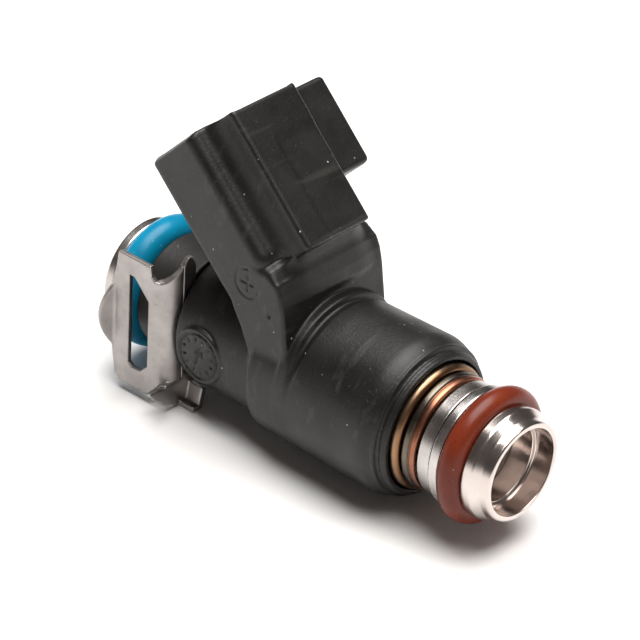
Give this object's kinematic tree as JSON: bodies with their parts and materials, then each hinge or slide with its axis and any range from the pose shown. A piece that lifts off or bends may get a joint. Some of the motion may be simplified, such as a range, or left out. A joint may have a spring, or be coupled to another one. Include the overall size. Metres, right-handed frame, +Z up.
{
  "type": "fuel injector",
  "caption": "Solenoid port fuel injector with a leaning two-pin connector, O-ring seals at both ends, an open nozzle cup and a sheet-steel retaining clip.",
  "frame": {"origin": "bottom centre of the whole part's box: below the middle of the injector's length, on the plane that the clip's tongues touch", "axes": "+X along the injector axis towards the nozzle, +Z up, the side the connector leans out of, +Y to the latch side"},
  "size_m": [0.0516, 0.0222, 0.0357],
  "materials": {
    "black_plastic": "matt moulded, glass-filled, dusty",
    "dark_plastic": "matt moulded",
    "bobbin_plastic": "natural glass-filled",
    "tin_plate": "tin plated",
    "turned_steel": "turned, fine rings",
    "polished_steel": "polished turned steel",
    "soft_iron": "ground",
    "clip_steel": "stamped, tumbled, slightly pitted",
    "gold_tint_steel": "turned, heat tinted",
    "copper_tint_steel": "turned, heat tinted",
    "blue_rubber": "semi-gloss",
    "brown_rubber": "semi-gloss",
    "copper_wire": "enamelled",
    "filter_gauze": "woven gauze"
  },
  "bodies": {
    "injector": {"overmould_body": "black_plastic", "terminal_left": "tin_plate", "terminal_right": "tin_plate", "inlet_tube": "turned_steel", "upper_o_ring": "blue_rubber", "inlet_spacer": "dark_plastic", "inlet_filter_frame": "bobbin_plastic", "inlet_filter_mesh": "filter_gauze", "pole_piece": "soft_iron", "adjusting_tube": "turned_steel", "return_spring": "turned_steel", "flux_washer": "soft_iron", "coil_bobbin": "bobbin_plastic", "coil_winding": "copper_wire", "coil_housing": "soft_iron", "nonmagnetic_shell": "turned_steel", "valve_body": "turned_steel", "weld_ring": "gold_tint_steel", "copper_ring": "copper_tint_steel", "o_ring_collar": "turned_steel", "lower_o_ring": "brown_rubber", "tip_sleeve": "polished_steel", "guide_disc": "turned_steel", "valve_seat": "turned_steel", "director_plate": "polished_steel"},
    "needle": {"armature": "soft_iron", "needle_shaft": "turned_steel", "valve_ball": "turned_steel"},
    "clip": {"retaining_clip": "clip_steel"}
  },
  "joints": [
    {"name": "needle_lift", "type": "slide", "parent": "injector", "child": "needle", "axis": [-1, 0, 0], "range_m": [0, 0.0001], "stiffness_N_per_m": 250, "springref_m": -0.012, "deforming": ["return_spring"]},
    {"name": "clip_slide", "type": "slide", "parent": "injector", "child": "clip", "axis": [0, 0, -1], "range_m": [0, 0.0135]}
  ]
}
